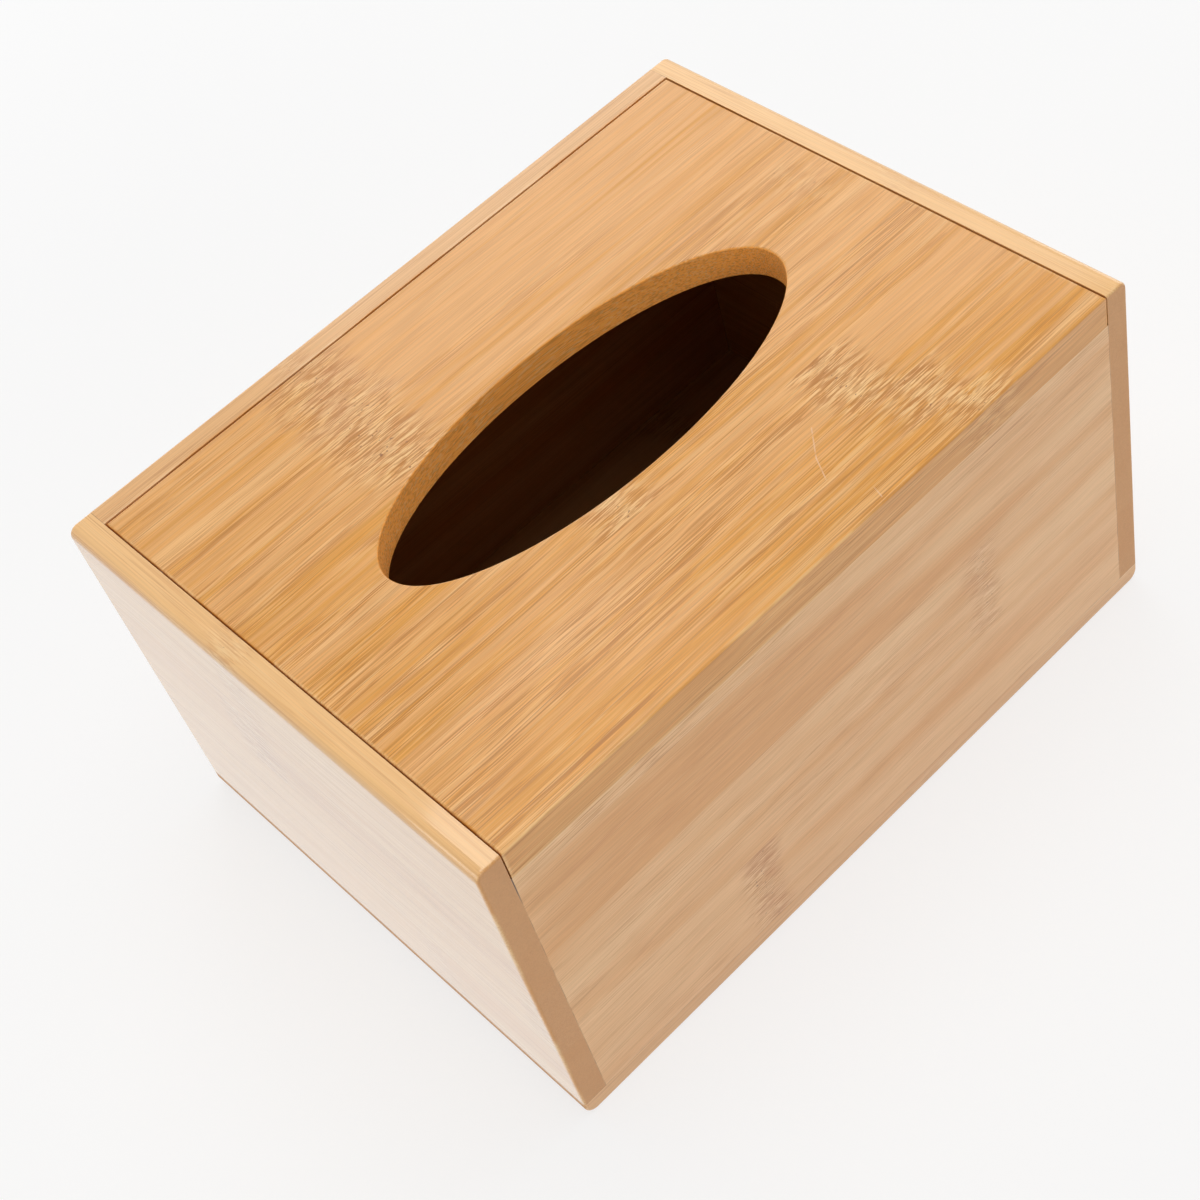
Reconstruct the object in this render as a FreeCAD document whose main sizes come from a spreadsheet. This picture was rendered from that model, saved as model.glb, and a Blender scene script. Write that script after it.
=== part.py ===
import FreeCAD, Part
import os

import Sketcher

# Tissue box cover: a closed box of butt-jointed bamboo boards with a flip-up lid.
# The origin is the middle of the underside, +X runs along the box, +Y to the back, +Z up.
# Left is the -X end and front is the -Y side. All lengths are in millimetres.

# Driving sizes: alias, value, meaning
DRIVING_SIZES = (
    ("box_length", "190", "outside length, end board to end board"),
    ("box_depth", "141", "outside depth, front to back"),
    ("box_height", "101", "outside height, with the lid shut"),
    ("base_thickness", "5", "base board, under all four walls"),
    ("end_thickness", "6.5", "left and right end boards"),
    ("front_thickness", "6", "front board"),
    ("back_thickness", "6", "back board"),
    ("lid_thickness", "8.5", "lid board, thick enough to carry the pins"),
    ("lid_end_gap", "0.35", "gap between the lid and each end board"),
    ("lid_back_gap", "0.35", "gap between the lid and the back board"),
    ("opening_length", "116.5", "oval opening, along the box"),
    ("opening_width", "46", "oval opening, across the box"),
    ("opening_from_front", "69.8", "middle of the oval opening to the lid's front edge"),
    ("pin_diameter", "3", "steel hinge pins"),
    ("pin_in_lid", "12", "length of a pin pressed into the lid"),
    ("pin_clearance", "0.05", "running clearance round a pin in the end board"),
    ("pin_from_back", "20", "hinge axis to the lid's back edge"),
    ("pin_from_top", "3", "hinge axis to the lid's top face"),
    ("dowel_diameter", "3", "corner dowels"),
    ("dowel_in_wall", "12", "length of a dowel inside the front or back board"),
    ("glue_film", "0.05", "glue round a dowel"),
    ("blind_skin", "2", "wood left outside a blind hole in an end board"),
    ("blind_room", "0.5", "room past the tip of a pin or dowel in its blind hole"),
    ("tip_chamfer", "0.4", "chamfer on the tips of pins and dowels"),
    ("top_round", "2.5", "outer top edge of the end boards"),
    ("base_round", "3", "lower edge of the base at both ends"),
    ("edge_round", "0.8", "eased edges on the front and back of the box"),
    ("lid_edge_round", "0.5", "eased top edges of the lid and of its oval opening"),
)

# Heights of the dowels in a corner joint, as shares of the joint's height
DOWEL_HEIGHT_SHARES = (0.15, 0.5, 0.85)

# Largest rounding of an edge, as a share of the board or round that it cuts into
ROUND_LIMIT_SHARE = 0.8

# How near a point has to be to count as on a plane, as a share of the body's own diagonal
NEAR_SHARE = 1e-6

# Points looked at along an edge to tell where it lies
EDGE_SAMPLES = 7

# Size at which an outline is first drawn, before its own sizes are bound
UNIT = 1.0

# Sizes that follow from the driving sizes
WALL_HEIGHT = "(Sizes.box_height - Sizes.base_thickness)"
FRONT_HEIGHT = f"({WALL_HEIGHT} - Sizes.lid_thickness)"
INNER_LENGTH = "(Sizes.box_length - 2 * Sizes.end_thickness)"
LID_LENGTH = f"({INNER_LENGTH} - 2 * Sizes.lid_end_gap)"
LID_DEPTH = "(Sizes.box_depth - Sizes.back_thickness - Sizes.lid_back_gap)"
LID_BOTTOM = "(Sizes.box_height - Sizes.lid_thickness)"
HINGE_Y = f"({LID_DEPTH} - Sizes.pin_from_back - Sizes.box_depth / 2)"
HINGE_Z = "(Sizes.box_height - Sizes.pin_from_top)"
BLIND_DEPTH = "(Sizes.end_thickness - Sizes.blind_skin)"
PIN_LENGTH = f"(Sizes.pin_in_lid + Sizes.lid_end_gap + {BLIND_DEPTH} - Sizes.blind_room)"
PIN_BORE = "(Sizes.pin_diameter + 2 * Sizes.pin_clearance)"
DOWEL_LENGTH = f"(Sizes.dowel_in_wall + {BLIND_DEPTH} - Sizes.blind_room)"
DOWEL_HOLE = "(Sizes.dowel_diameter + 2 * Sizes.glue_film)"
FRONT_DOWEL_Y = "(Sizes.front_thickness / 2 - Sizes.box_depth / 2)"
BACK_DOWEL_Y = "(Sizes.box_depth / 2 - Sizes.back_thickness / 2)"
TOP_ROUND = f"min(Sizes.top_round; {ROUND_LIMIT_SHARE} * Sizes.end_thickness)"
BASE_ROUND = f"min(Sizes.base_round; {ROUND_LIMIT_SHARE} * Sizes.base_thickness)"
END_EDGE_ROUND = f"min(Sizes.edge_round; {ROUND_LIMIT_SHARE} * Sizes.top_round)"
BASE_EDGE_ROUND = f"min(Sizes.edge_round; {ROUND_LIMIT_SHARE} * Sizes.base_round)"

doc = FreeCAD.newDocument("tissue_box_cover")


def make_sheet():
    """The spreadsheet of driving sizes."""
    sheet = doc.addObject("Spreadsheet::Sheet", "Sizes")
    for row, (alias, value, meaning) in enumerate(DRIVING_SIZES, start=1):
        sheet.set(f"A{row}", meaning)
        sheet.set(f"B{row}", value)
        sheet.setAlias(f"B{row}", alias)
    doc.recompute()


def new_body(label, x="0", y="0", z="0"):
    """An empty body of one sub-part, placed by expressions."""
    body = doc.addObject("PartDesign::Body", label)
    body.Label = label
    for axis, place in zip("xyz", (x, y, z)):
        body.setExpression(f"Placement.Base.{axis}", place)
    return body


def origin_plane(body, role):
    """One of the body's own origin planes."""
    return next(item for item in body.Origin.OriginFeatures if item.Role == role)


def new_sketch(body, role, offset="0"):
    """A sketch on an origin plane of the body, or parallel to it at an offset."""
    sketch = body.newObject("Sketcher::SketchObject", f"{body.Label}_sketch")
    sketch.AttachmentSupport = [(origin_plane(body, role), "")]
    sketch.MapMode = "FlatFace"
    sketch.setExpression("AttachmentOffset.Base.z", offset)
    return sketch


def constrain(sketch, expression, *constraint):
    """Add a size to a sketch and bind it to an expression."""
    index = sketch.addConstraint(Sketcher.Constraint(*constraint))
    sketch.setExpression(f"Constraints[{index}]", expression)


def draw_rectangle(sketch, width, height):
    """A rectangle that stands on the sketch's first axis, with the second axis up its middle."""
    half = UNIT / 2
    corners = [FreeCAD.Vector(*corner) for corner in ((-half, 0), (half, 0), (half, UNIT), (-half, UNIT))]
    lines = [Part.LineSegment(*ends) for ends in zip(corners, corners[1:] + corners[:1])]
    bottom, right, top, left = sketch.addGeometry(lines, False)
    for line, following in ((bottom, right), (right, top), (top, left), (left, bottom)):
        sketch.addConstraint(Sketcher.Constraint("Coincident", line, 2, following, 1))
    for line in (right, left):
        sketch.addConstraint(Sketcher.Constraint("Vertical", line))
    sketch.addConstraint(Sketcher.Constraint("Horizontal", top))
    sketch.addConstraint(Sketcher.Constraint("PointOnObject", bottom, 1, -1))
    sketch.addConstraint(Sketcher.Constraint("Symmetric", bottom, 1, bottom, 2, -2))
    constrain(sketch, width, "DistanceX", bottom, 1, bottom, 2, UNIT)
    constrain(sketch, height, "DistanceY", right, 1, right, 2, UNIT)


def draw_circle(sketch, diameter, across, up):
    """A circle whose middle lies across and up from the sketch's origin."""
    shape = Part.Circle(FreeCAD.Vector(UNIT, UNIT), FreeCAD.Vector(0, 0, 1), UNIT / 2)
    circle = sketch.addGeometry(shape, False)
    constrain(sketch, diameter, "Diameter", circle, UNIT)
    constrain(sketch, across, "DistanceX", -1, 1, circle, 3, UNIT)
    constrain(sketch, up, "DistanceY", -1, 1, circle, 3, UNIT)


def draw_ellipse(sketch, length, width, up):
    """An ellipse on the sketch's second axis, its long axis along the first."""
    middle = FreeCAD.Vector(0, UNIT)
    shape = Part.Ellipse(middle, UNIT, UNIT / 2)
    ellipse = sketch.addGeometry(shape, False)
    sketch.exposeInternalGeometry(ellipse)
    long_axis = ellipse + 1
    short_axis = ellipse + 2
    sketch.addConstraint(Sketcher.Constraint("PointOnObject", ellipse, 3, -2))
    sketch.addConstraint(Sketcher.Constraint("Horizontal", long_axis))
    constrain(sketch, length, "Distance", long_axis, 2 * UNIT)
    constrain(sketch, width, "Distance", short_axis, UNIT)
    constrain(sketch, up, "DistanceY", -1, 1, ellipse, 3, UNIT)


def pad(body, sketch, length, reverse=False):
    """Extrude a sketch along its normal, or against it."""
    feature = body.newObject("PartDesign::Pad", f"{body.Label}_pad")
    feature.Profile = sketch
    feature.setExpression("Length", length)
    feature.Reversed = reverse
    doc.recompute()
    return feature


def pocket(body, sketch, depth, reverse=False):
    """Cut a sketch into the body against its normal, or along it."""
    before = body.Shape.Volume
    feature = body.newObject("PartDesign::Pocket", f"{body.Label}_pocket")
    feature.Profile = sketch
    feature.setExpression("Length", depth)
    feature.Reversed = reverse
    doc.recompute()
    if feature.Shape.Volume >= before:
        raise RuntimeError(f"a pocket in {body.Label} cuts nothing")
    return feature


def mirror_ends(body, feature):
    """Repeat a feature of the right end at the left end."""
    mirrored = body.newObject("PartDesign::Mirrored", f"{body.Label}_mirrored")
    mirrored.Originals = [feature]
    mirrored.MirrorPlane = (origin_plane(body, "YZ_Plane"), [""])
    body.Tip = mirrored
    doc.recompute()
    return mirrored


def edges_on(feature, on_line):
    """Names of the edges whose points all pass a test of their x, y and z."""
    near = NEAR_SHARE * feature.Shape.BoundBox.DiagonalLength
    names = []
    for number, edge in enumerate(feature.Shape.Edges, start=1):
        if all(on_line(point, near) for point in edge.discretize(EDGE_SAMPLES)):
            names.append(f"Edge{number}")
    return names


def tip_edges(feature):
    """Names of the round edges at the tips of straight rods."""
    numbered = enumerate(feature.Shape.Edges, start=1)
    return [f"Edge{number}" for number, edge in numbered if edge.isClosed()]


def ease(body, feature, kind, size, edges):
    """Fillet or chamfer the named edges of a feature."""
    if not edges:
        raise RuntimeError(f"no edge to ease on {body.Label}")
    eased = body.newObject(f"PartDesign::{kind}", f"{body.Label}_{kind.lower()}")
    eased.Base = (feature, edges)
    eased.setExpression("Radius" if kind == "Fillet" else "Size", size)
    doc.recompute()
    return eased


def make_base():
    """Base board under all four walls, rounded at both ends and eased along front and back."""
    body = new_body("base_board", y="-Sizes.box_depth / 2")
    sketch = new_sketch(body, "XY_Plane")
    draw_rectangle(sketch, "Sizes.box_length", "Sizes.box_depth")
    board = pad(body, sketch, "Sizes.base_thickness")
    box = board.Shape.BoundBox

    lower_ends = edges_on(board, lambda p, near: p.z < near and box.XMax - abs(p.x) < near)
    board = ease(body, board, "Fillet", BASE_ROUND, lower_ends)

    def on_front_or_back(p, near):
        return min(p.y - box.YMin, box.YMax - p.y) < near

    outline = edges_on(board, on_front_or_back)
    upper = edges_on(board, lambda p, near: box.ZMax - p.z < near)
    ease(body, board, "Fillet", BASE_EDGE_ROUND, [edge for edge in outline if edge not in upper])
    return body


def make_end(label, side):
    """End board; side is -1 on the left and 1 on the right. Its inner face is the body's YZ plane."""
    body = new_body(label, x=f"{side} * {INNER_LENGTH} / 2", z="Sizes.base_thickness")
    on_left = side < 0
    sketch = new_sketch(body, "YZ_Plane")
    draw_rectangle(sketch, "Sizes.box_depth", WALL_HEIGHT)
    board = pad(body, sketch, "Sizes.end_thickness", reverse=on_left)
    box = board.Shape.BoundBox
    outer_x = box.XMin if on_left else box.XMax

    top_edge = edges_on(board, lambda p, near: box.ZMax - p.z < near and abs(p.x - outer_x) < near)
    board = ease(body, board, "Fillet", TOP_ROUND, top_edge)

    outline = edges_on(board, lambda p, near: box.YMax - abs(p.y) < near)
    hidden = edges_on(board, lambda p, near: p.z < near) + edges_on(board, lambda p, near: abs(p.x) < near)
    ease(body, board, "Fillet", END_EDGE_ROUND, [edge for edge in outline if edge not in hidden])

    holes = new_sketch(body, "YZ_Plane")
    for share in DOWEL_HEIGHT_SHARES:
        draw_circle(holes, DOWEL_HOLE, FRONT_DOWEL_Y, f"{share} * {FRONT_HEIGHT}")
        draw_circle(holes, DOWEL_HOLE, BACK_DOWEL_Y, f"{share} * {WALL_HEIGHT}")
    draw_circle(holes, PIN_BORE, HINGE_Y, f"{HINGE_Z} - Sizes.base_thickness")
    pocket(body, holes, BLIND_DEPTH, reverse=not on_left)
    return body


def drill_for_dowels(body, middle_y, height):
    """Dowel holes in both ends of a front or back board."""
    holes = new_sketch(body, "YZ_Plane", offset=f"{INNER_LENGTH} / 2")
    for share in DOWEL_HEIGHT_SHARES:
        draw_circle(holes, DOWEL_HOLE, middle_y, f"{share} * {height}")
    mirror_ends(body, pocket(body, holes, "Sizes.dowel_in_wall + Sizes.blind_room"))


def make_front():
    """Front board, which ends under the lid. Its inner face is the body's XZ plane."""
    body = new_body("front_board", y="Sizes.front_thickness - Sizes.box_depth / 2", z="Sizes.base_thickness")
    sketch = new_sketch(body, "XZ_Plane")
    draw_rectangle(sketch, INNER_LENGTH, FRONT_HEIGHT)
    pad(body, sketch, "Sizes.front_thickness")
    drill_for_dowels(body, "-Sizes.front_thickness / 2", FRONT_HEIGHT)
    return body


def make_back():
    """Back board, as tall as the end boards. Its inner face is the body's XZ plane."""
    body = new_body("back_board", y="Sizes.box_depth / 2 - Sizes.back_thickness", z="Sizes.base_thickness")
    sketch = new_sketch(body, "XZ_Plane")
    draw_rectangle(sketch, INNER_LENGTH, WALL_HEIGHT)
    board = pad(body, sketch, "Sizes.back_thickness", reverse=True)
    box = board.Shape.BoundBox
    top_edge = edges_on(board, lambda p, near: box.ZMax - p.z < near and box.YMax - p.y < near)
    ease(body, board, "Fillet", "Sizes.edge_round", top_edge)
    drill_for_dowels(body, "Sizes.back_thickness / 2", WALL_HEIGHT)
    return body


def make_lid():
    """Lid board between the end boards, over the front board, with its oval opening and pin bores."""
    body = new_body("lid_board", y="-Sizes.box_depth / 2", z=LID_BOTTOM)
    sketch = new_sketch(body, "XY_Plane")
    draw_rectangle(sketch, LID_LENGTH, LID_DEPTH)
    draw_ellipse(sketch, "Sizes.opening_length", "Sizes.opening_width", "Sizes.opening_from_front")
    board = pad(body, sketch, "Sizes.lid_thickness")
    box = board.Shape.BoundBox
    top_edges = edges_on(board, lambda p, near: box.ZMax - p.z < near)
    ease(body, board, "Fillet", "Sizes.lid_edge_round", top_edges)

    bore = new_sketch(body, "YZ_Plane", offset=f"{LID_LENGTH} / 2")
    bore_y = f"{LID_DEPTH} - Sizes.pin_from_back"
    draw_circle(bore, "Sizes.pin_diameter", bore_y, "Sizes.lid_thickness - Sizes.pin_from_top")
    mirror_ends(body, pocket(body, bore, "Sizes.pin_in_lid"))
    return body


def make_pin(label, side):
    """Hinge pin pressed into one end of the lid; it turns in the end board beside it."""
    inner_tip = f"({LID_LENGTH} / 2 - Sizes.pin_in_lid)"
    body = new_body(label, x=f"{side} * {inner_tip}", y=HINGE_Y, z=HINGE_Z)
    sketch = new_sketch(body, "YZ_Plane")
    draw_circle(sketch, "Sizes.pin_diameter", "0", "0")
    rod = pad(body, sketch, PIN_LENGTH, reverse=side < 0)
    ease(body, rod, "Chamfer", "Sizes.tip_chamfer", tip_edges(rod))
    return body


def make_dowels(label, middle_y, height):
    """Dowels of the two joints at the ends of a front or back board, each one a separate solid."""
    body = new_body(label, z="Sizes.base_thickness")
    body.AllowCompound = True
    sketch = new_sketch(body, "YZ_Plane", offset=f"{INNER_LENGTH} / 2 - Sizes.dowel_in_wall")
    for share in DOWEL_HEIGHT_SHARES:
        draw_circle(sketch, "Sizes.dowel_diameter", middle_y, f"{share} * {height}")
    rods = mirror_ends(body, pad(body, sketch, DOWEL_LENGTH))
    ease(body, rods, "Chamfer", "Sizes.tip_chamfer", tip_edges(rods))
    return body


def check(bodies):
    """Stop unless every feature was made and every sub-part is a sound solid."""
    for item in doc.Objects:
        if {"Invalid", "Error"} & set(item.State):
            raise RuntimeError(f"{item.Name} could not be made")
    for body in bodies:
        if body.Shape.isNull() or not body.Shape.isValid() or not body.Shape.Solids:
            raise RuntimeError(f"{body.Label} is not a sound solid")


make_sheet()
sub_parts = [
    make_base(),
    make_end("left_end_board", -1),
    make_end("right_end_board", 1),
    make_front(),
    make_back(),
    make_lid(),
    make_pin("left_hinge_pin", -1),
    make_pin("right_hinge_pin", 1),
    make_dowels("front_corner_dowels", FRONT_DOWEL_Y, FRONT_HEIGHT),
    make_dowels("back_corner_dowels", BACK_DOWEL_Y, WALL_HEIGHT),
]
doc.recompute()
check(sub_parts)

os.makedirs("parts", exist_ok=True)
for sub_part in sub_parts:
    sub_part.Shape.exportStep(f"parts/{sub_part.Label}.step")
    solids = len(sub_part.Shape.Solids)
    print(f"{sub_part.Label}: {solids} solids, {sub_part.Shape.Volume:.1f} mm3")
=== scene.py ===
"""Looks of a bamboo tissue box with a flip-up lid: laminated bamboo boards under a clear lacquer,
steel hinge pins and bamboo dowels, on a white floor in soft studio light."""

import math
import random
from collections import namedtuple

import bpy
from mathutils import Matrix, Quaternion, Vector


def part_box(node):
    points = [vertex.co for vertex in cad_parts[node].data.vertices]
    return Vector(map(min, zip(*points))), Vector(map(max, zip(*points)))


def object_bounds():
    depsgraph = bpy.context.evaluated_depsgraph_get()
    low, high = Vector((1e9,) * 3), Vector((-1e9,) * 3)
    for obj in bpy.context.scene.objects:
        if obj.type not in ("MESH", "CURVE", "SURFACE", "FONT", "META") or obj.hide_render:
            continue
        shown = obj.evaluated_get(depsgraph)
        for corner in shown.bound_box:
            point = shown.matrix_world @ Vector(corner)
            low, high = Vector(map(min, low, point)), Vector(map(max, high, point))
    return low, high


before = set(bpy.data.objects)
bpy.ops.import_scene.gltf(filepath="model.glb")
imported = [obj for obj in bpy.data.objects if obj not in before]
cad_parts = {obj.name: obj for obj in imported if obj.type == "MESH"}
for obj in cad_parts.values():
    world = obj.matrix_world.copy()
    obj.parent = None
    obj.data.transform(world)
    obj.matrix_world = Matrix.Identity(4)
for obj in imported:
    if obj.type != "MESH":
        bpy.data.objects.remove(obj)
CAD_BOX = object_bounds()

MM = 0.001
AXES = "XYZ"


def srgb(red, green, blue):
    """A colour written as it looks on screen, 0 to 255, as the linear colour that a shader takes."""
    def linear(level):
        share = level / 255
        return share / 12.92 if share <= 0.04045 else ((share + 0.055) / 1.055) ** 2.4
    return (linear(red), linear(green), linear(blue), 1.0)


class Graph:
    """The node tree of a material or a world, written as sums of its sockets."""

    def __init__(self, owner):
        self.owner = owner
        owner.use_nodes = True
        self.tree = owner.node_tree
        self.tree.nodes.clear()

    def node(self, kind, **settings):
        made = self.tree.nodes.new(kind)
        for key, value in settings.items():
            setattr(made, key, value)
        return made

    def feed(self, socket, value):
        if isinstance(value, bpy.types.NodeSocket):
            self.tree.links.new(value, socket)
        else:
            socket.default_value = value

    def feed_all(self, sockets, values):
        for socket, value in zip(sockets, values):
            self.feed(socket, value)

    def math(self, operation, *values, clamp=False):
        made = self.node("ShaderNodeMath", operation=operation, use_clamp=clamp)
        self.feed_all(made.inputs, values)
        return made.outputs[0]

    def chain(self, operation, first, *others):
        total = first
        for value in others:
            total = self.math(operation, total, value)
        return total

    def add(self, *values):
        return self.chain("ADD", *values)

    def times(self, *values):
        return self.chain("MULTIPLY", *values)

    def most(self, *values):
        return self.chain("MAXIMUM", *values)

    def minus(self, first, second):
        return self.math("SUBTRACT", first, second)

    def over(self, first, second):
        return self.math("DIVIDE", first, second)

    def spread(self, value, levels=(0.0, 1.0), ends=(0.0, 1.0)):
        """value between two levels, eased, as a number between two ends."""
        made = self.node("ShaderNodeMapRange", interpolation_type="SMOOTHSTEP")
        self.feed_all(made.inputs, (value, *levels, *ends))
        return made.outputs[0]

    def split(self, vector):
        made = self.node("ShaderNodeSeparateXYZ")
        self.feed(made.inputs[0], vector)
        return list(made.outputs)

    def vector(self, *values):
        made = self.node("ShaderNodeCombineXYZ")
        self.feed_all(made.inputs, values)
        return made.outputs[0]

    def vector_math(self, operation, *values, output="Vector"):
        made = self.node("ShaderNodeVectorMath", operation=operation)
        self.feed_all(made.inputs, values)
        return made.outputs[output]

    def scaled(self, vector, level):
        """A vector or a colour times a number."""
        made = self.node("ShaderNodeVectorMath", operation="SCALE")
        self.feed(made.inputs["Vector"], vector[:3] if isinstance(vector, tuple) else vector)
        self.feed(made.inputs["Scale"], level)
        return made.outputs["Vector"]

    def noise(self, vector, seed=0.0, detail=2.0, roughness=0.5):
        made = self.node("ShaderNodeTexNoise", noise_dimensions="4D")
        self.feed(made.inputs["Vector"], vector)
        self.feed(made.inputs["W"], seed)
        self.feed(made.inputs["Scale"], 1.0)
        self.feed(made.inputs["Detail"], detail)
        self.feed(made.inputs["Roughness"], roughness)
        return made.outputs["Fac"]

    def mix(self, share, first, second, blend="MIX"):
        made = self.node("ShaderNodeMix", data_type="RGBA", blend_type=blend)
        self.feed(made.inputs[0], share)
        self.feed(made.inputs[6], first)
        self.feed(made.inputs[7], second)
        return made.outputs[2]

    def steps(self, value, stops):
        """The four parts of the last stop at or below value; stops are (place, colour)."""
        made = self.node("ShaderNodeValToRGB")
        made.color_ramp.interpolation = "CONSTANT"
        while len(made.color_ramp.elements) < len(stops):
            made.color_ramp.elements.new(1.0)
        for element, (place, colour) in zip(made.color_ramp.elements, stops):
            element.position = place
            element.color = colour
        self.feed(made.inputs[0], value)
        split = self.node("ShaderNodeSeparateColor")
        self.feed(split.inputs[0], made.outputs["Color"])
        return [*split.outputs, made.outputs["Alpha"]]

    def bump(self, height, depth, strength=1.0):
        made = self.node("ShaderNodeBump")
        self.feed(made.inputs["Strength"], strength)
        self.feed(made.inputs["Distance"], depth)
        self.feed(made.inputs["Height"], height)
        return made.outputs["Normal"]

    def surface(self, shader, output="ShaderNodeOutputMaterial"):
        """The material or world, with a shader as its surface."""
        self.feed(self.node(output).inputs["Surface"], shader)
        return self.owner

    def principled(self, **values):
        """A Principled shader as the surface; names use _ for the spaces of its sockets."""
        made = self.node("ShaderNodeBsdfPrincipled")
        for name, value in values.items():
            self.feed(made.inputs[name.replace("_", " ")], value)
        return self.surface(made.outputs[0])


# Laminated bamboo: strips glued side by side, each with a knuckle somewhere along it. Its lengths are
# in millimetres, and levels are those of a noise, which keeps mostly to NOISE_SPAN.

NOISE_SPAN = (0.3, 0.7)
FADE = (1.0, 0.0)

# Each strip draws its own noise, by the place of its knuckle and its warmth.
SEED_BY_KNUCKLE = 37.0
SEED_BY_WARMTH = 11.0


class Fibre(namedtuple("Fibre", "length width shift detail by_grain", defaults=(0.0, False))):
    """Noise drawn out along the grain; shift sets it apart from the others. With by_grain, the board
    scales its length."""


class Mark(namedtuple("Mark", "fibre levels share tint")):
    """A tint laid on, at most to a share, where the noise of a fibre passes from level to level."""


class Ragged(namedtuple("Ragged", "width shift")):
    """Noise that changes only across the grain."""


# The fibres run a little wavy, and more so about a knuckle.
SLOW_WAVE = Fibre(60.0, 9.0, 3.0)
SLOW_SWING = 1.6
QUICK_WAVE = Fibre(7.0, 3.0, 5.0)
QUICK_SWING = 0.4

# A strip's colour; each board sets the width of its bands.
BANDS = Fibre(150.0, 9.0, 7.0, detail=1.0)
CLOUDS = Fibre(60.0, 12.0, 8.0, detail=1.0)
WARMTH_SWING = 0.5
CLOUD_SWING = 0.35
WARM_LEVELS = (0.34, 0.70)
PALE_LEVELS = (0.94, 0.66)
PALE_SHARE = 0.3
SIDE_SHARE = 0.8

# Thin lines in groups, and fine threads all over.
GROUPS = Fibre(90.0, 2.6, 17.0, detail=1.0, by_grain=True)
GROUP_LEVELS = (0.40, 0.62)
LONG_LINES = Fibre(60.0, 0.31, 9.0, by_grain=True)
SHORT_LINES = Fibre(20.0, 0.27, 19.0, by_grain=True)
THREADS = Fibre(30.0, 0.32, 11.0, detail=1.0, by_grain=True)
LINE_MARKS = [
    Mark(SHORT_LINES, (0.46, 0.36), 0.45, "light"),
    Mark(LONG_LINES, (0.58, 0.625), 0.8, "dark"),
    Mark(SHORT_LINES, (0.555, 0.62), 0.7, "dark"),
]
BETWEEN_GROUPS = 0.30
FEWEST_LINES = 0.15
SIDE_LINES = 0.8
THREAD_SWING = 0.07

# A knuckle: it wanders over its strip, is jagged from fibre to fibre, and its dashes fray out.
KNUCKLE_RANGE = 250.0
REACH_RANGE = 20.0
CHANGE_LENGTH = 14.0
SOLID_CORE = 0.3
MEANDER = Ragged(7.0, 1.0)
MEANDER_SWING = 9.0
JAG = Ragged(0.5, 2.0)
JAG_SWING = 4.5
FRAY = Ragged(0.55, 3.0)
RAGGED_ROUGHNESS = 0.6
DASHES = Fibre(6.0, 0.30, 13.0)
SHORT_DASHES = Fibre(3.5, 0.26, 14.0)
BLOTCHES = Fibre(4.5, 1.1, 15.0, detail=1.0)
SPECKS = Fibre(3.0, 0.36, 16.0)
DOTS = Fibre(0.9, 0.6, 18.0)
ROSY_PATCHES = Fibre(9.0, 4.0, 21.0, detail=1.0)
KNUCKLE_MARKS = [
    ("core", Mark(BLOTCHES, (0.40, 0.58), 0.65, "light")),
    ("rosy", Mark(ROSY_PATCHES, (0.36, 0.60), 0.75, "rosy")),
    ("flank", Mark(DASHES, (0.46, 0.38), 0.60, "light")),
    ("flank", Mark(SHORT_DASHES, (0.44, 0.38), 0.45, "light")),
    ("flank", Mark(DASHES, (0.545, 0.61), 0.80, "dark")),
    ("flank", Mark(SHORT_DASHES, (0.56, 0.62), 0.55, "dark")),
    ("core", Mark(SPECKS, (0.56, 0.64), 0.52, "dark")),
    ("core", Mark(DOTS, (0.755, 0.775), 0.8, "dot")),
]
FAINTEST_KNUCKLE = 0.4
SIDE_KNUCKLE = 0.6

# Kinds of face, by how squarely the surface faces an axis and how far it lies inside the outline.
END_FACING = (0.5, 0.9)
SIDE_FACING = (0.5, 0.85)
UPRIGHT_FACING = (0.9, 0.5)
INSIDE_FACING = (0.4, 0.8)
SEAM_FACING = (0.3, 0.7)
TOP_FACING = (0.8, 0.95)
OPENING_INSET = (1.5, 2.5)
LID_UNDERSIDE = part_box("lid_board")[0][2] / MM
BARE_AND_SHADE_FADE = 1.0

# End grain, sawn walls, and edges with amber wear and a pale painted highlight.
PORES = Fibre(3.0, 0.45, 25.0, detail=2.0)
PORE_SHADES = (1.03, 0.96)
END_SHARE = 0.85
TURNING_SCALE = 4.0
TURNING_MARK = Mark(Fibre(3.0, 0.7, 26.0), (0.35, 0.60), 0.5, "amber")
SAWN_FIBRES = Fibre(14.0, 0.36, 23.0, detail=1.0)
SAWN_SHADES = (1.25, 0.80)
SPLINTER_MARK = Mark(Fibre(2.5, 0.32, 24.0), (0.58, 0.68), 0.5, "light")
SAWN_SHARE = 0.9
EDGE_WIDTH = (0.1, 0.9)
HIGHLIGHT_AND_WEAR_PATCHES = Fibre(40.0, 20.0, 28.0)
HIGHLIGHT_AND_WEAR_LEVELS = (0.46, 0.56)
BROKEN_LEVELS = (0.35, 0.60)
BROKEN_SHARES = (0.3, 1.0)
HIGHLIGHT_AND_WEAR_SHARE = 0.6

# Lines of glue, the painted shade of the open crack, and scratches in the lacquer.
GLUE_PATCH = 5.0
GLUE_SEED = 30.0
GLUE_LEVELS = (0.35, 0.65)
GLUE_SHARES = (0.1, 0.5)
GLUE_WIDTH = 0.22
CRACK_WIDTH = 0.35
CRACK_LENGTH = 12.0
FULL_CRACK = 0.2
FULL_WIDTH = 0.4
SCRATCH_WIDTH = (0.06, 0.20)
SCRATCH_WEAR = Fibre(1.5, 1.5, 31.0)
WEAR_LEVELS = (0.35, 0.55)
WEAR_SHARES = (0.15, 0.55)

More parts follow.
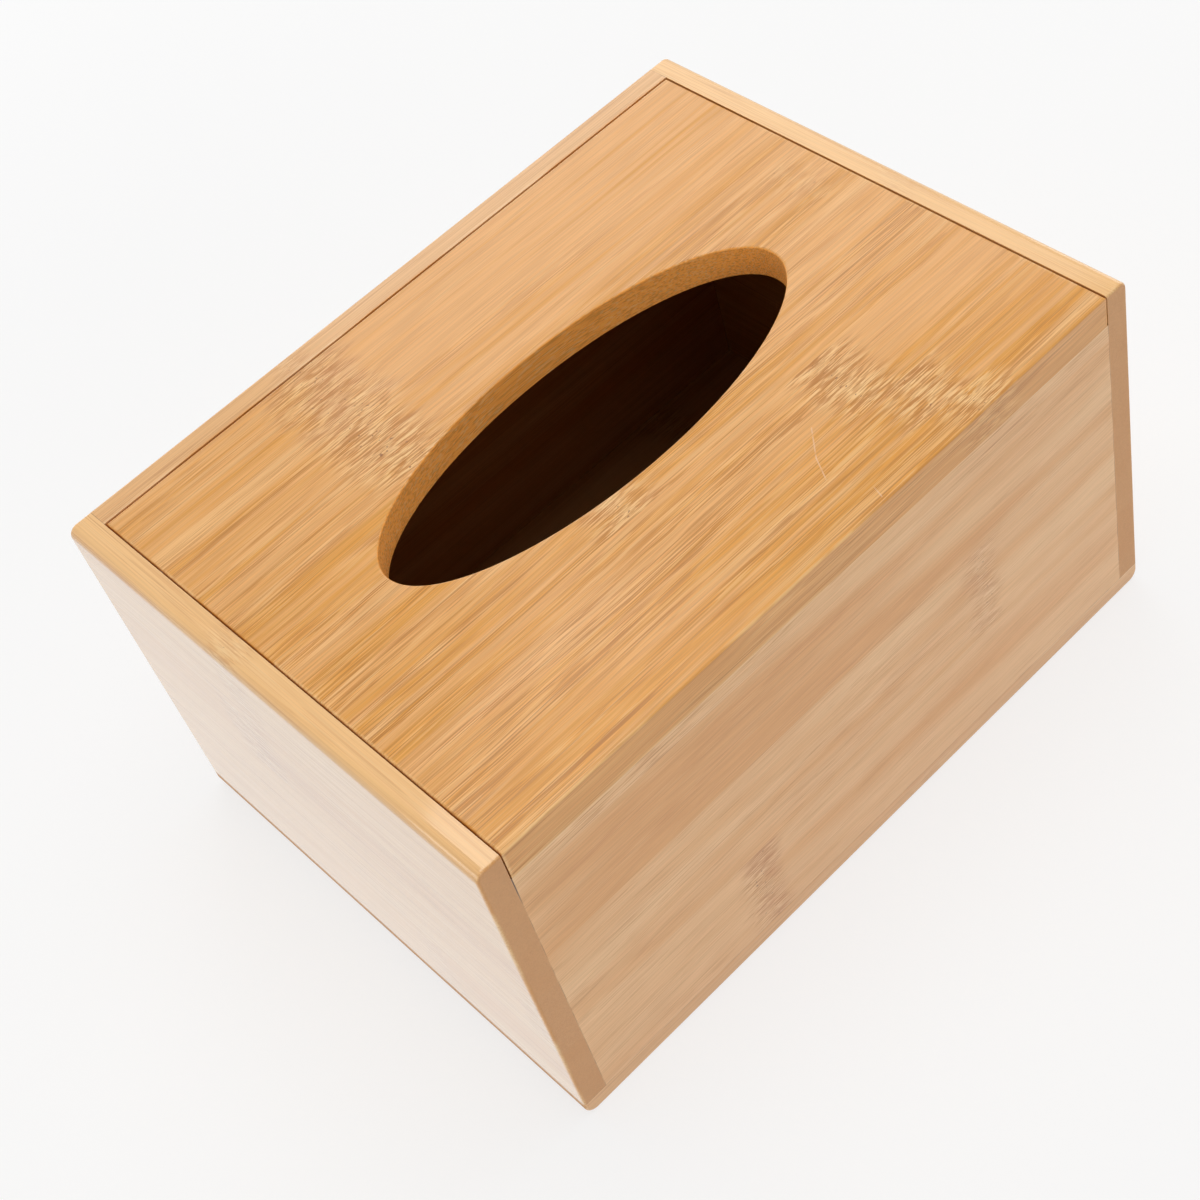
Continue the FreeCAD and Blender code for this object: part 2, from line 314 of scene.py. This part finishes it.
# Relief and finish.
THREAD_RELIEF = 0.012
KNUCKLE_RELIEF = 0.015
SAWN_RELIEF = 0.12
LACQUERED_ROUGHNESS = (0.42, 0.52)
RAW_ROUGHER = 0.3
END_ROUGHER = 0.2
UNSEALED_END = 0.7
BAMBOO_SPECULAR = 0.35
LACQUER_IOR = 1.6


class Strip:
    """One strip of a board: its far edge across the grain, and the place along the grain and the half
    length of its knuckle.

    The other values run from 0 to 1: how orange the strip is and how many dark lines it has, each
    before and after its knuckle, how plainly the knuckle shows and how pink it is."""

    def __init__(self, edge, knuckle, reach=4.0, warmth=(0.5, 0.5), lines=(0.5, 0.5), strength=0.8,
                 rosy=0.2):
        self.edge = edge
        self.place = (0.5 + knuckle / KNUCKLE_RANGE / 2, reach / REACH_RANGE, strength, rosy)
        self.tone = (*warmth, *lines)


STRIP_WIDTH = 24.0
SCATTER = {
    "knuckle": (-75.0, 75.0),
    "reach": (3.0, 6.0),
    "warmth": (0.2, 0.8),
    "lines": (0.2, 0.7),
    "strength": (0.5, 1.0),
    "rosy": (0.0, 0.6),
}


def scattered_strips(seed, node, across):
    """Strips of about one width over a board, with their knuckles scattered along it."""
    low, high = [corner[AXES.index(across)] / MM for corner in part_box(node)]
    count = max(1, round((high - low) / STRIP_WIDTH))
    source = random.Random(seed)

    def draw(name):
        return source.uniform(*SCATTER[name])

    return [
        Strip(
            low + (high - low) * (index + 1) / count,
            draw("knuckle"),
            reach=draw("reach"),
            warmth=(draw("warmth"), draw("warmth")),
            lines=(draw("lines"), draw("lines")),
            strength=draw("strength"),
            rosy=draw("rosy"),
        )
        for index in range(count)
    ]


class Board:
    """How a board is laid up: the axes along and across its grain, its strips and its tints.

    inside are the sides that face into the box, glued those that meet another board, seams those
    beside which a line of glue shows and crack a seam that has come open near the top; contrast
    scales the figure of the grain, grain the length of its lines, gloss the lacquer, blur what it
    mirrors and polish how much smoother the bamboo under it is. band is the width of its bands of
    colour and fray how far the dashes run out from a knuckle."""

    def __init__(self, node, along, across, strips, tints, inside=(), glued=(), seams=(), crack=None,
                 contrast=1.0, grain=1.0, gloss=0.6, blur=0.12, polish=0.0, band=9.0, fray=5.0,
                 scratches=()):
        self.node = node
        self.low, self.high = [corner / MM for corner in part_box(node)]
        self.along = AXES.index(along)
        self.across = AXES.index(across)
        self.depth = 3 - self.along - self.across
        self.strips = strips
        self.tints = tints
        self.inside = inside
        self.glued = glued
        self.seams = seams
        self.crack = crack
        self.contrast = contrast
        self.grain = grain
        self.gloss = gloss
        self.blur = blur
        self.polish = polish
        self.band = band
        self.fray = fray
        self.scratches = scratches


class Bamboo(Graph):
    """The node tree of one board's bamboo, in millimetres along, across and through the board."""

    def __init__(self, board):
        super().__init__(bpy.data.materials.new(board.node + "_bamboo"))
        self.board = board
        self.tints = {**COMMON_TINTS, **board.tints}
        self.drawn = {}
        coordinates = self.node("ShaderNodeTexCoord")
        self.where = self.split(self.scaled(coordinates.outputs["Object"], 1.0 / MM))
        self.normal = self.split(coordinates.outputs["Normal"])
        self.along = self.where[board.along]
        self.across = self.where[board.across]
        self.depth = self.where[board.depth]
        self.side = self.across
        self.read_strips()
        self.find_knuckle()
        self.find_faces()
        self.wave_fibres()

    def read_strips(self):
        """Finds the strip that a point lies in, and that strip's values."""
        board = self.board
        first = board.low[board.across]
        width = board.high[board.across] - first
        starts = [0.0] + [(strip.edge - first) / width for strip in board.strips[:-1]]
        share = self.over(self.minus(self.across, first), width)
        places = [(start, strip.place) for start, strip in zip(starts, board.strips)]
        tones = [(start, strip.tone) for start, strip in zip(starts, board.strips)]
        knuckle_share, reach_share, self.strength, self.rosy = self.steps(share, places)
        self.tone = self.steps(share, tones)
        self.knuckle = self.about(knuckle_share, 2 * KNUCKLE_RANGE)
        self.reach = self.times(reach_share, REACH_RANGE)
        self.seed = self.add(
            self.times(knuckle_share, SEED_BY_KNUCKLE),
            self.times(self.tone[0], SEED_BY_WARMTH),
        )

    def find_knuckle(self):
        """How far a point is in the knuckle's core, and in the flanks where its dashes fray out."""
        meander = self.about(self.ragged(MEANDER), MEANDER_SWING)
        jag = self.about(self.ragged(JAG), JAG_SWING)
        fray = self.about(self.ragged(FRAY), self.board.fray)
        offset = self.minus(self.along, self.add(self.knuckle, meander, jag))
        distance = self.math("ABSOLUTE", offset)
        start = self.times(self.reach, SOLID_CORE)
        end = self.add(self.reach, self.board.fray)
        frayed = self.add(distance, fray)
        self.core = self.times(self.spread(distance, (start, self.reach), FADE), self.strength)
        self.flank = self.times(self.spread(frayed, (self.reach, end), FADE), self.strength)
        after = self.spread(offset, (-CHANGE_LENGTH, CHANGE_LENGTH))
        self.warmth = self.spread(after, ends=self.tone[:2])
        self.lines = self.spread(after, ends=self.tone[2:])

    def find_faces(self):
        """Which kind of face a point lies on: end grain, narrow side, sawn opening, inside."""
        board = self.board
        self.end_on = self.spread(self.facing(board.along), END_FACING)
        self.on_side = self.spread(self.facing(board.across), SIDE_FACING)
        inset = self.math("MINIMUM", self.inset(board.along), self.inset(board.across))
        upright = self.spread(self.facing(board.depth), UPRIGHT_FACING)
        self.sawn = self.times(upright, self.spread(inset, OPENING_INSET))
        inward = [self.spread(self.towards(side), INSIDE_FACING) for side in board.inside]
        below_lid = self.spread(self.where[2], (LID_UNDERSIDE, LID_UNDERSIDE + BARE_AND_SHADE_FADE), FADE)
        # the bare inside faces below the lid, which also get painted shade
        self.bare_and_shade = self.times(self.most(0.0, *inward), below_lid)

    def wave_fibres(self):
        """Lets the fibres run a little wavy, and more so about a knuckle."""
        slow = self.about(self.fibres(SLOW_WAVE), SLOW_SWING)
        quick = self.times(self.about(self.fibres(QUICK_WAVE), QUICK_SWING), self.flank)
        self.side = self.add(self.across, slow, quick)

    def facing(self, axis):
        """How squarely the surface faces along an axis, 0 to 1."""
        return self.math("ABSOLUTE", self.normal[axis])

    def towards(self, side):
        """How squarely the surface faces a side such as -Z, from -1 to 1."""
        return self.times(self.normal[AXES.index(side[1])], float(side[0] + "1"))

    def from_side(self, side):
        """The distance from the board's face on a side such as -Z."""
        axis = AXES.index(side[1])
        if side[0] == "+":
            return self.minus(self.board.high[axis], self.where[axis])
        return self.minus(self.where[axis], self.board.low[axis])

    def inset(self, axis):
        """The distance from the nearer of the board's two faces across an axis."""
        return self.math("MINIMUM", self.from_side("+" + AXES[axis]), self.from_side("-" + AXES[axis]))

    def about(self, noise, swing):
        """Noise as a number about zero."""
        return self.times(self.minus(noise, 0.5), swing)

    def ragged(self, ragged):
        """The noise of a Ragged."""
        across = self.over(self.across, ragged.width)
        place = self.vector(0.0, across, self.over(self.depth, ragged.width))
        return self.noise(place, self.add(self.seed, ragged.shift), 1.0, RAGGED_ROUGHNESS)

    def fibres(self, fibre):
        """The noise of a Fibre, made once."""
        if fibre not in self.drawn:
            length = fibre.length * (self.board.grain if fibre.by_grain else 1.0)
            place = self.vector(
                self.over(self.along, length),
                self.over(self.side, fibre.width),
                self.over(self.depth, fibre.width),
            )
            self.drawn[fibre] = self.noise(place, self.add(self.seed, fibre.shift), fibre.detail)
        return self.drawn[fibre]

    def marked(self, colour, mark, *shares):
        """colour with a mark's tint laid on, as far as the shares let it."""
        level = self.spread(self.fibres(mark.fibre), mark.levels)
        return self.mix(self.times(level, *shares, mark.share), colour, self.tints[mark.tint])

    def shaded(self, colour, fibre, shades):
        """colour made lighter or darker along the noise of a fibre."""
        return self.scaled(colour, self.spread(self.fibres(fibre), NOISE_SPAN, shades))

    def strip_colour(self):
        """Bands of plain, warm and light bamboo along a strip; a narrow side has its own tone."""
        bands = self.fibres(BANDS._replace(width=self.board.band))
        clouds = self.fibres(CLOUDS)
        lean = self.add(bands, self.about(self.warmth, WARMTH_SWING), self.about(clouds, CLOUD_SWING))
        colour = self.mix(self.spread(lean, WARM_LEVELS), self.tints["plain"], self.tints["warm"])
        pale = self.times(
            self.spread(self.add(bands, clouds), PALE_LEVELS),
            PALE_SHARE * self.board.contrast,
        )
        colour = self.mix(pale, colour, self.tints["light"])
        return self.mix(self.times(self.on_side, SIDE_SHARE), colour, self.tints["side"])

    def with_lines(self, colour):
        """Thin dark and light lines in groups, and fine threads all over."""
        contrast = self.board.contrast
        crowd = self.times(
            self.spread(self.fibres(GROUPS), GROUP_LEVELS, (BETWEEN_GROUPS, 1.0)),
            self.spread(self.lines, ends=(FEWEST_LINES, 1.0)),
            self.spread(self.on_side, ends=(contrast, SIDE_LINES * contrast)),
        )
        for mark in LINE_MARKS:
            colour = self.marked(colour, mark, crowd)
        swing = THREAD_SWING * contrast
        return self.shaded(colour, THREADS, (1.0 + swing, 1.0 - swing))

    def with_knuckle(self, colour):
        """Wavy dashes on both flanks of the knuckle; pale blotches and dark dots in its core."""
        plain = FAINTEST_KNUCKLE + (1.0 - FAINTEST_KNUCKLE) * self.board.contrast
        figure = self.spread(self.on_side, ends=(plain, SIDE_KNUCKLE * plain))
        flank = self.times(self.flank, figure)
        areas = {
            "core": self.times(self.core, figure),
            "flank": flank,
            "rosy": self.times(flank, self.rosy),
        }
        for area, mark in KNUCKLE_MARKS:
            colour = self.marked(colour, mark, areas[area])
        return colour

    def with_end_grain(self, colour):
        """Cut across, the fibres show as pores; where the surface turns into that cut they are amber."""
        tone = self.shaded(self.tints["end"], PORES, PORE_SHADES)
        colour = self.mix(self.times(self.end_on, END_SHARE), colour, tone)
        turning = self.times(self.end_on, self.minus(1.0, self.end_on), TURNING_SCALE)
        return self.marked(colour, TURNING_MARK, turning)

    def with_sawn_wall(self, colour):
        """The wall of an opening: rough sawn fibres with pale splinters."""
        tone = self.shaded(self.tints["cut"], SAWN_FIBRES, SAWN_SHADES)
        tone = self.marked(tone, SPLINTER_MARK)
        return self.mix(self.times(self.sawn, SAWN_SHARE), colour, tone)

    def with_rubbed_edges_and_highlight(self, colour):
        """Along the free edges, pale patches are a painted highlight of the rounded edge catching the
        light, and amber patches are wear.
        """
        near = []
        for axis in AXES:
            free = [side + axis for side in "+-" if side + axis not in self.board.glued]
            shares = [self.spread(self.from_side(side), EDGE_WIDTH, FADE) for side in free]
            near.append(self.most(0.0, *shares))
        x, y, z = near
        edge = self.most(self.times(x, y), self.times(y, z), self.times(x, z))
        patches = self.spread(self.fibres(HIGHLIGHT_AND_WEAR_PATCHES), HIGHLIGHT_AND_WEAR_LEVELS)
        # pale: painted highlight along the edge; amber: wear
        highlight_and_wear = self.mix(patches, self.tints["light"], self.tints["amber"])
        broken = self.spread(self.fibres(DASHES), BROKEN_LEVELS, BROKEN_SHARES)
        return self.mix(self.times(edge, broken, HIGHLIGHT_AND_WEAR_SHARE), colour, highlight_and_wear)

    def with_joints(self, colour):
        """A thin broken line of glue along each seam, and a dark line of painted shade where one seam
        has come open near the top.
        """
        place = self.vector(*[self.over(value, GLUE_PATCH) for value in self.where])
        shown = self.spread(self.noise(place, GLUE_SEED), GLUE_LEVELS, GLUE_SHARES)
        for side in self.board.seams:
            line = self.beside(side, GLUE_WIDTH)
            colour = self.mix(self.times(line, shown), colour, self.tints["glue"])
        # the open crack is not in the geometry: its dark line is painted shade
        if self.board.crack:
            down = self.spread(self.from_side("+Z"), (FULL_CRACK * CRACK_LENGTH, CRACK_LENGTH), FADE)
            line = self.beside(self.board.crack, CRACK_WIDTH)
            colour = self.mix(self.times(line, down), colour, self.tints["gap"])
        return colour

    def beside(self, side, width):
        """The strip of that width beside a side of the board, without that side itself."""
        line = self.spread(self.from_side(side), (FULL_WIDTH * width, width), FADE)
        return self.times(line, self.spread(self.facing(AXES.index(side[1])), SEAM_FACING, FADE))

    def with_scratches(self, colour):
        """Fine pale scratches in the lacquer of the upper face."""
        if not self.board.scratches:
            return colour
        upper = self.spread(self.towards("+Z"), TOP_FACING)
        worn = self.spread(self.fibres(SCRATCH_WEAR), WEAR_LEVELS, WEAR_SHARES)
        place = self.vector(self.along, self.across, 0.0)
        for start, end in self.board.scratches:
            line = self.spread(self.to_line(place, start, end), SCRATCH_WIDTH, FADE)
            colour = self.mix(self.times(line, worn, upper), colour, self.tints["scratch"])
        return colour

    def to_line(self, place, start, end):
        """The distance of a point from the straight line between two places along and across."""
        course = Vector((end[0] - start[0], end[1] - start[1], 0.0))
        from_start = self.vector_math("SUBTRACT", place, (*start, 0.0))
        dot = self.vector_math("DOT_PRODUCT", from_start, course, output="Value")
        share = self.math("DIVIDE", dot, course.length_squared, clamp=True)
        nearest = self.scaled(tuple(course), share)
        return self.vector_math("DISTANCE", from_start, nearest, output="Value")

    def with_painted_shade_inside(self, colour):
        """Where it faces into the box, the bamboo is bare, and painted shade multiplies it to a darker
        brown, standing in for the shade inside the box.
        """
        return self.mix(self.bare_and_shade, colour, self.tints["bare_and_shade"], "MULTIPLY")

    def height(self):
        """Relief in millimetres: fine threads, a rough knuckle and a rougher sawn wall."""
        return self.add(
            self.times(self.fibres(THREADS), THREAD_RELIEF),
            self.times(self.fibres(BLOTCHES), self.core, KNUCKLE_RELIEF),
            self.times(self.fibres(SAWN_FIBRES), self.sawn, SAWN_RELIEF),
        )


def bamboo(board):
    """Laminated bamboo for one board, lacquered outside and bare inside the box, where painted shade
    darkens it.
    """
    g = Bamboo(board)
    colour = g.strip_colour()
    for layer in (g.with_lines, g.with_knuckle, g.with_end_grain, g.with_sawn_wall,
                  g.with_rubbed_edges_and_highlight, g.with_joints, g.with_scratches, g.with_painted_shade_inside):
        colour = layer(colour)
    raw = g.most(g.bare_and_shade, g.sawn)
    unsealed = g.most(raw, g.times(g.end_on, UNSEALED_END))
    roughness = [level - board.polish for level in LACQUERED_ROUGHNESS]
    lacquered = g.spread(g.fibres(THREADS), NOISE_SPAN, roughness)
    return g.principled(
        Base_Color=colour,
        Roughness=g.add(lacquered, g.times(raw, RAW_ROUGHER), g.times(g.end_on, END_ROUGHER)),
        Specular_IOR_Level=BAMBOO_SPECULAR,
        Coat_Weight=g.spread(unsealed, ends=(board.gloss, 0.0)),
        Coat_Roughness=board.blur,
        Coat_IOR=LACQUER_IOR,
        Normal=g.bump(g.height(), MM),
    )


# Drawn steel, with its noises per metre.

STEEL_LINES = (60.0, 9000.0, 9000.0)
STEEL_SMUDGES = (400.0, 400.0, 400.0)
SMUDGE_SEED = 4.0
SMUDGE_DETAIL = 3.0
SMUDGE_SHARE = 0.3
STEEL_DARK = srgb(176, 176, 172)
STEEL_LIGHT = srgb(214, 213, 208)
STEEL_ROUGHNESS = (0.38, 0.24)
STEEL_RELIEF = 0.02 * MM
STEEL_BUMP = 0.4


def steel(name):
    """Drawn steel rod with fine lines along it."""
    g = Graph(bpy.data.materials.new(name))
    place = g.node("ShaderNodeTexCoord").outputs["Object"]
    lines = g.noise(g.vector_math("MULTIPLY", place, STEEL_LINES))
    smudges = g.noise(g.vector_math("MULTIPLY", place, STEEL_SMUDGES), SMUDGE_SEED, SMUDGE_DETAIL)
    tone = g.add(g.times(lines, 1.0 - SMUDGE_SHARE), g.times(smudges, SMUDGE_SHARE))
    return g.principled(
        Base_Color=g.mix(g.spread(tone, NOISE_SPAN), STEEL_DARK, STEEL_LIGHT),
        Metallic=1.0,
        Roughness=g.spread(tone, NOISE_SPAN, STEEL_ROUGHNESS),
        Normal=g.bump(lines, STEEL_RELIEF, STEEL_BUMP),
    )


# The boards of the box.

LID_STRIPS = [
    Strip(-63.5, 50.5, reach=4.5, warmth=(0.95, 0.7), lines=(0.9, 0.55), strength=1.0, rosy=0.1),
    Strip(-51.0, 44.5, reach=4.5, warmth=(0.7, 0.45), lines=(0.85, 0.45), strength=1.0, rosy=0.15),
    Strip(-32.0, 38.5, reach=4.0, warmth=(0.35, 0.3), lines=(0.8, 0.35), strength=1.0, rosy=0.15),
    Strip(-15.0, -16.0, reach=4.0, warmth=(0.45, 0.45), lines=(0.85, 0.6), strength=0.8, rosy=0.7),
    Strip(1.5, 10.0, reach=4.0, warmth=(0.45, 0.35), lines=(0.85, 0.4), strength=0.5),
    Strip(18.0, 79.0, reach=3.0, warmth=(0.4, 0.3), lines=(0.65, 0.25), strength=0.3),
    Strip(40.0, -34.0, reach=6.0, warmth=(0.4, 0.3), lines=(0.65, 0.4), strength=1.0, rosy=0.3),
    Strip(64.2, -33.0, reach=7.0, warmth=(0.45, 0.2), lines=(0.5, 0.15), strength=0.8, rosy=1.0),
]
FRONT_STRIPS = [
    Strip(33.0, -34.0, reach=2.8, warmth=(0.3, 0.4), lines=(0.4, 0.3), strength=1.0, rosy=0.9),
    Strip(62.0, 43.0, reach=2.5, warmth=(0.5, 0.3), lines=(0.5, 0.2), strength=0.7, rosy=0.5),
    Strip(87.5, -140.0, reach=4.0, warmth=(0.6, 0.75), lines=(0.4, 0.4), strength=0.4),
    Strip(92.5, 130.0, reach=4.0, warmth=(0.1, 0.1), lines=(0.8, 0.8), strength=0.2),
]
LEFT_END_STRIPS = scattered_strips(7, "left_end_board", "Z")[:-1] + [
    Strip(101.0, 12.0, reach=3.5, warmth=(0.3, 0.4), lines=(0.6, 0.5), strength=0.7, rosy=0.2),
]
RIGHT_END_STRIPS = scattered_strips(11, "right_end_board", "Z")[:-1] + [
    Strip(101.0, -9.0, reach=3.0, warmth=(0.3, 0.3), lines=(0.5, 0.4), strength=0.35),
]
BACK_STRIPS = scattered_strips(3, "back_board", "Z")
BASE_STRIPS = scattered_strips(5, "base_board", "Y")
FRONT_DOWEL_STRIPS = scattered_strips(13, "front_corner_dowels", "Y")
BACK_DOWEL_STRIPS = scattered_strips(17, "back_corner_dowels", "Y")
LID_SCRATCHES = [
    ((24.4, -44.6), (18.8, -51.2)),
    ((18.8, -51.2), (15.7, -56.9)),
    ((20.0, -66.2), (19.1, -69.2)),
]

COMMON_TINTS = {
    "amber": srgb(214, 144, 54),
    "dot": srgb(132, 64, 2),
    "glue": srgb(104, 64, 30),
    # painted shade for the open crack
    "gap": srgb(62, 30, 8),
    "scratch": srgb(244, 206, 170),
    # painted shade: multiplies the inside faces darker, standing in for the shade inside the box
    "bare_and_shade": (0.50, 0.40, 0.27, 1.0),
}
LID_TINTS = {
    "plain": srgb(231, 169, 98),
    "warm": srgb(221, 150, 44),
    "dark": srgb(180, 109, 0),
    "light": srgb(250, 206, 142),
    "rosy": srgb(206, 142, 86),
    "side": srgb(223, 161, 92),
    "end": srgb(178, 102, 32),
    "cut": srgb(252, 170, 76),
}
WALL_TINTS = {
    "plain": srgb(238, 188, 132),
    "warm": srgb(225, 163, 97),
    "dark": srgb(190, 122, 56),
    "light": srgb(248, 208, 156),
    "rosy": srgb(212, 150, 98),
    "side": srgb(230, 178, 117),
    "end": srgb(205, 155, 105),
    "cut": srgb(202, 136, 62),
}
END_TINTS = {
    "plain": srgb(240, 188, 118),
    "warm": srgb(232, 172, 96),
    "dark": srgb(186, 112, 30),
    "light": srgb(250, 214, 156),
    "rosy": srgb(222, 166, 110),
    "side": srgb(245, 192, 122),
    "end": srgb(205, 150, 100),
    "cut": srgb(202, 136, 62),
}

WALL_JOINTS = ("-X", "+X", "-Z")
BOARDS = [
    Board("lid_board", "X", "Y", LID_STRIPS, LID_TINTS, inside=("-Z",), grain=0.6, gloss=0.4, band=2.4,
          fray=8.0, scratches=LID_SCRATCHES),
    Board("front_board", "X", "Z", FRONT_STRIPS, WALL_TINTS, inside=("+Y",), glued=WALL_JOINTS,
          seams=WALL_JOINTS, crack="-X", contrast=0.75, grain=0.4, gloss=0.45),
    Board("back_board", "X", "Z", BACK_STRIPS, WALL_TINTS, inside=("-Y",), glued=WALL_JOINTS,
          seams=WALL_JOINTS, contrast=0.8),
    Board("base_board", "X", "Y", BASE_STRIPS, WALL_TINTS, inside=("+Z",), contrast=0.7),
    Board("left_end_board", "Y", "Z", LEFT_END_STRIPS, END_TINTS, inside=("+X",), glued=("-Z", "+X"),
          seams=("-Z",), contrast=0.7, gloss=1.0, blur=0.06, polish=0.12),
    Board("right_end_board", "Y", "Z", RIGHT_END_STRIPS, END_TINTS, inside=("-X",), glued=("-Z", "-X"),
          seams=("-Z",), contrast=0.7, gloss=0.7, blur=0.06, polish=0.12),
    Board("front_corner_dowels", "X", "Y", FRONT_DOWEL_STRIPS, END_TINTS),
    Board("back_corner_dowels", "X", "Y", BACK_DOWEL_STRIPS, END_TINTS),
]


def dress(node, material):
    """Gives a CAD node its material."""
    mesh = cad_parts[node].data
    mesh.materials.clear()
    mesh.materials.append(material)


for board in BOARDS:
    dress(board.node, bamboo(board))
pin_steel = steel("pin_steel")
for side in ("left", "right"):
    dress(side + "_hinge_pin", pin_steel)


# Stage, light and camera, in metres and watts.

FLOOR_REACH = 4.0
FLOOR_LIP = 0.004
FLOOR_DROP = 0.0001
FLOOR_GLOW = 0.72
SHADOW_REACH = (0.2, 0.7)
FLOOR_WHITES = (srgb(244, 244, 244), srgb(248, 248, 247))
WHITE = (1.0, 1.0, 1.0, 1.0)
AMBIENT = 0.3
SOFTBOXES = {
    "key": {"place": (0.1, 0.05, 1.0), "width": 0.9, "height": 0.9, "power": 4.9},
    "sheen": {"place": (0.88, 1.15, 1.05), "width": 0.8, "height": 0.7, "power": 2.5},
    "front_fill": {"place": (-0.15, -1.15, 0.52), "width": 1.4, "height": 0.35, "power": 2.7},
    "left_fill": {"place": (-1.2, 0.1, 0.3), "width": 1.2, "height": 0.4, "power": 2.5},
    "right_fill": {"place": (1.2, 0.0, 0.3), "width": 1.2, "height": 0.4, "power": 2.0},
    "back_fill": {"place": (0.1, 1.2, 0.3), "width": 1.2, "height": 0.4, "power": 2.0},
}
CAMERA_PLACE = Vector((-0.17401, -0.29303, 0.44069))
CAMERA_AIM = Vector((-0.03484, -0.04153, 0.101))
CAMERA_ROLL = math.radians(-18.73)
CAMERA_LENS = 66.38
CAMERA_SENSOR = 36.0


def floor_mesh():
    """A flat ring, open under the box, so that the underside can be looked at."""
    mesh = bpy.data.meshes.new("floor")
    half_length = CAD_BOX[1][0] - FLOOR_LIP
    half_depth = CAD_BOX[1][1] - FLOOR_LIP
    corners = [
        (x * right, y * back, -FLOOR_DROP)
        for right, back in ((half_length, half_depth), (FLOOR_REACH, FLOOR_REACH))
        for x, y in ((-1, -1), (1, -1), (1, 1), (-1, 1))
    ]
    sides = [(corner, 4 + corner, 4 + (corner + 1) % 4, (corner + 1) % 4) for corner in range(4)]
    mesh.from_pydata(corners, [], sides)
    return mesh


def white_floor():
    """A floor that shows white to the camera and in reflections and keeps the shadow near the box."""
    g = Graph(bpy.data.materials.new("white_floor"))
    rays = g.node("ShaderNodeLightPath").outputs
    place = g.node("ShaderNodeTexCoord").outputs["Object"]
    diffuse = g.node("ShaderNodeBsdfDiffuse")
    g.feed(diffuse.inputs["Color"], g.mix(g.noise(place), *FLOOR_WHITES))
    away = g.vector_math("LENGTH", place, output="Value")
    seen = g.times(rays["Is Camera Ray"], g.spread(away, SHADOW_REACH, (FLOOR_GLOW, 1.0)))
    glow = g.node("ShaderNodeEmission")
    mixed = g.node("ShaderNodeMixShader")
    share = g.most(seen, rays["Is Glossy Ray"], rays["Is Transmission Ray"])
    g.feed_all(mixed.inputs, (share, diffuse.outputs[0], glow.outputs[0]))
    floor = bpy.data.objects.new("floor", floor_mesh())
    floor.data.materials.append(g.surface(mixed.outputs[0]))
    bpy.context.scene.collection.objects.link(floor)


def studio_world():
    """Plain white surroundings: white to the camera and in reflections, dimmer as light."""
    g = Graph(bpy.data.worlds.new("studio"))
    rays = g.node("ShaderNodeLightPath").outputs
    seen = g.most(rays["Is Camera Ray"], rays["Is Glossy Ray"], rays["Is Transmission Ray"])
    background = g.node("ShaderNodeBackground")
    g.feed(background.inputs["Color"], WHITE)
    g.feed(background.inputs["Strength"], g.spread(seen, ends=(AMBIENT, 1.0)))
    bpy.context.scene.world = g.surface(background.outputs[0], "ShaderNodeOutputWorld")


def softbox(name, place, width, height, power):
    """A rectangular lamp that faces the middle of the box."""
    lamp = bpy.data.lights.new(name, "AREA")
    lamp.shape = "RECTANGLE"
    lamp.size = width
    lamp.size_y = height
    lamp.energy = power
    holder = bpy.data.objects.new(name, lamp)
    holder.location = place
    target = (CAD_BOX[0] + CAD_BOX[1]) / 2
    holder.rotation_euler = (target - holder.location).to_track_quat("-Z", "Y").to_euler()
    bpy.context.scene.collection.objects.link(holder)


def photo_camera():
    """The camera that took the photograph, from its straight edges: place, aim, roll and lens."""
    data = bpy.data.cameras.new("camera")
    data.sensor_width = CAMERA_SENSOR
    data.lens = CAMERA_LENS
    camera = bpy.data.objects.new("camera", data)
    camera.location = CAMERA_PLACE
    level = (CAMERA_AIM - CAMERA_PLACE).to_track_quat("-Z", "Y")
    camera.rotation_mode = "QUATERNION"
    camera.rotation_quaternion = level @ Quaternion((0, 0, 1), CAMERA_ROLL)
    bpy.context.scene.collection.objects.link(camera)
    bpy.context.scene.camera = camera


white_floor()
studio_world()
for name, lamp in SOFTBOXES.items():
    softbox(name, **lamp)
photo_camera()
bpy.context.scene.view_settings.view_transform = "Standard"
